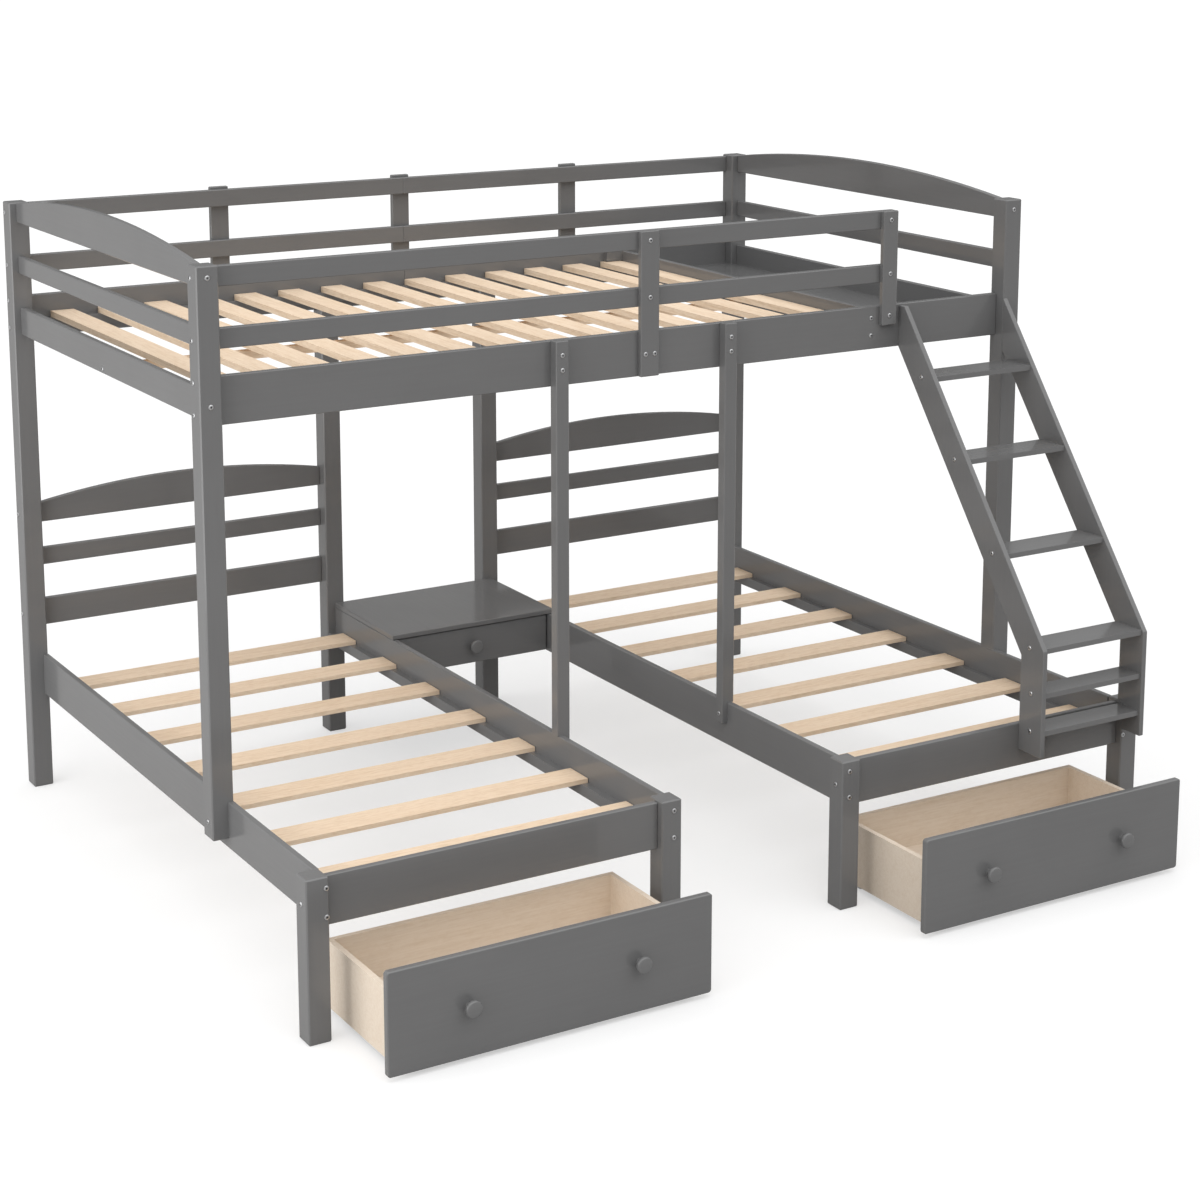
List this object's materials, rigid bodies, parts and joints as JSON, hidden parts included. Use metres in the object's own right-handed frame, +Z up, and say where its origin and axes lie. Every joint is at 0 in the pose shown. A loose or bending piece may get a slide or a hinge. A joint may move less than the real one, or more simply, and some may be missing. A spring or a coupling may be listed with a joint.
{
  "type": "triple bunk bed",
  "caption": "Triple bunk bed with a wide guarded upper bunk set across parallel lower beds, a slanted ladder, end storage tray, nightstand and rolling under-bed drawers.",
  "frame": {"origin": "on the floor, under the middle of the whole part with its drawers drawn out as stored", "axes": "+X to the right along the upper bed, -Y towards the front where the ladder and drawers are, +Z up"},
  "size_m": [2.504, 2.293, 1.7699],
  "materials": {
    "grey_painted_wood": "satin grey paint",
    "pine_slats": "planed, bare",
    "drawer_boards": "planed, bare",
    "bright_steel": "zinc plated",
    "roller_plastic": "matte"
  },
  "bodies": {
    "frame": {"back_guard_posts": "grey_painted_wood", "back_guard_rails": "grey_painted_wood", "back_left_post": "grey_painted_wood", "back_right_post": "grey_painted_wood", "connecting_screws": "bright_steel", "front_guard_gate_post": "grey_painted_wood", "front_guard_middle_post": "grey_painted_wood", "front_guard_rails": "grey_painted_wood", "front_left_post": "grey_painted_wood", "front_right_post": "grey_painted_wood", "inner_back_left_post": "grey_painted_wood", "inner_back_right_post": "grey_painted_wood", "inner_front_left_post": "grey_painted_wood", "inner_front_right_post": "grey_painted_wood", "ladder_left_stringer": "grey_painted_wood", "ladder_right_stringer": "grey_painted_wood", "ladder_treads": "grey_painted_wood", "left_bed_foot_rail": "grey_painted_wood", "left_bed_side_rails": "grey_painted_wood", "left_bed_slats": "pine_slats", "left_end_arched_rail": "grey_painted_wood", "left_end_rails": "grey_painted_wood", "left_foot_posts": "grey_painted_wood", "left_headboard_arch": "grey_painted_wood", "left_headboard_rails": "grey_painted_wood", "lower_ledges": "grey_painted_wood", "nightstand_case": "grey_painted_wood", "nightstand_top": "grey_painted_wood", "right_bed_foot_rail": "grey_painted_wood", "right_bed_side_rails": "grey_painted_wood", "right_bed_slats": "pine_slats", "right_end_arched_rail": "grey_painted_wood", "right_end_rails": "grey_painted_wood", "right_foot_posts": "grey_painted_wood", "right_headboard_arch": "grey_painted_wood", "right_headboard_rails": "grey_painted_wood", "storage_cleats": "grey_painted_wood", "storage_divider": "grey_painted_wood", "storage_shelf": "grey_painted_wood", "upper_back_rails": "grey_painted_wood", "upper_centre_beam": "pine_slats", "upper_front_rails": "grey_painted_wood", "upper_ledges": "grey_painted_wood", "upper_slats": "pine_slats"},
    "left_drawer": {"left_drawer_axles": "bright_steel", "left_drawer_box": "drawer_boards", "left_drawer_front": "grey_painted_wood", "left_drawer_knobs": "grey_painted_wood"},
    "right_drawer": {"right_drawer_axles": "bright_steel", "right_drawer_box": "drawer_boards", "right_drawer_front": "grey_painted_wood", "right_drawer_knobs": "grey_painted_wood"},
    "nightstand_drawer": {"nightstand_drawer_box": "drawer_boards", "nightstand_drawer_front": "grey_painted_wood", "nightstand_knob": "grey_painted_wood"},
    "left_drawer_back_wheels": {"left_drawer_back_wheels": "roller_plastic"},
    "left_drawer_front_wheels": {"left_drawer_front_wheels": "roller_plastic"},
    "right_drawer_back_wheels": {"right_drawer_back_wheels": "roller_plastic"},
    "right_drawer_front_wheels": {"right_drawer_front_wheels": "roller_plastic"}
  },
  "joints": [
    {"name": "left_drawer_slide", "type": "slide", "parent": "frame", "child": "left_drawer", "axis": [0, -1, 0], "range_m": [-0.273, 0.1]},
    {"name": "left_drawer_front_wheels_roll", "type": "hinge", "parent": "left_drawer", "child": "left_drawer_front_wheels", "pos_m": [-0.747, -1.0485, 0.026], "axis": [1, 0, 0], "continuous": true},
    {"name": "left_drawer_back_wheels_roll", "type": "hinge", "parent": "left_drawer", "child": "left_drawer_back_wheels", "pos_m": [-0.747, -0.7715, 0.026], "axis": [1, 0, 0], "continuous": true},
    {"name": "right_drawer_slide", "type": "slide", "parent": "frame", "child": "right_drawer", "axis": [0, -1, 0], "range_m": [-0.273, 0.1]},
    {"name": "right_drawer_front_wheels_roll", "type": "hinge", "parent": "right_drawer", "child": "right_drawer_front_wheels", "pos_m": [0.747, -1.0485, 0.026], "axis": [1, 0, 0], "continuous": true},
    {"name": "right_drawer_back_wheels_roll", "type": "hinge", "parent": "right_drawer", "child": "right_drawer_back_wheels", "pos_m": [0.747, -0.7715, 0.026], "axis": [1, 0, 0], "continuous": true},
    {"name": "nightstand_drawer_slide", "type": "slide", "parent": "frame", "child": "nightstand_drawer", "axis": [0, -1, 0], "range_m": [0, 0.28]}
  ],
  "couplings": [
    {"joint": "left_drawer_front_wheels_roll", "follows": "left_drawer_slide", "rad_per_m": 38.462},
    {"joint": "left_drawer_back_wheels_roll", "follows": "left_drawer_slide", "rad_per_m": 38.462},
    {"joint": "right_drawer_front_wheels_roll", "follows": "right_drawer_slide", "rad_per_m": 38.462},
    {"joint": "right_drawer_back_wheels_roll", "follows": "right_drawer_slide", "rad_per_m": 38.462}
  ]
}
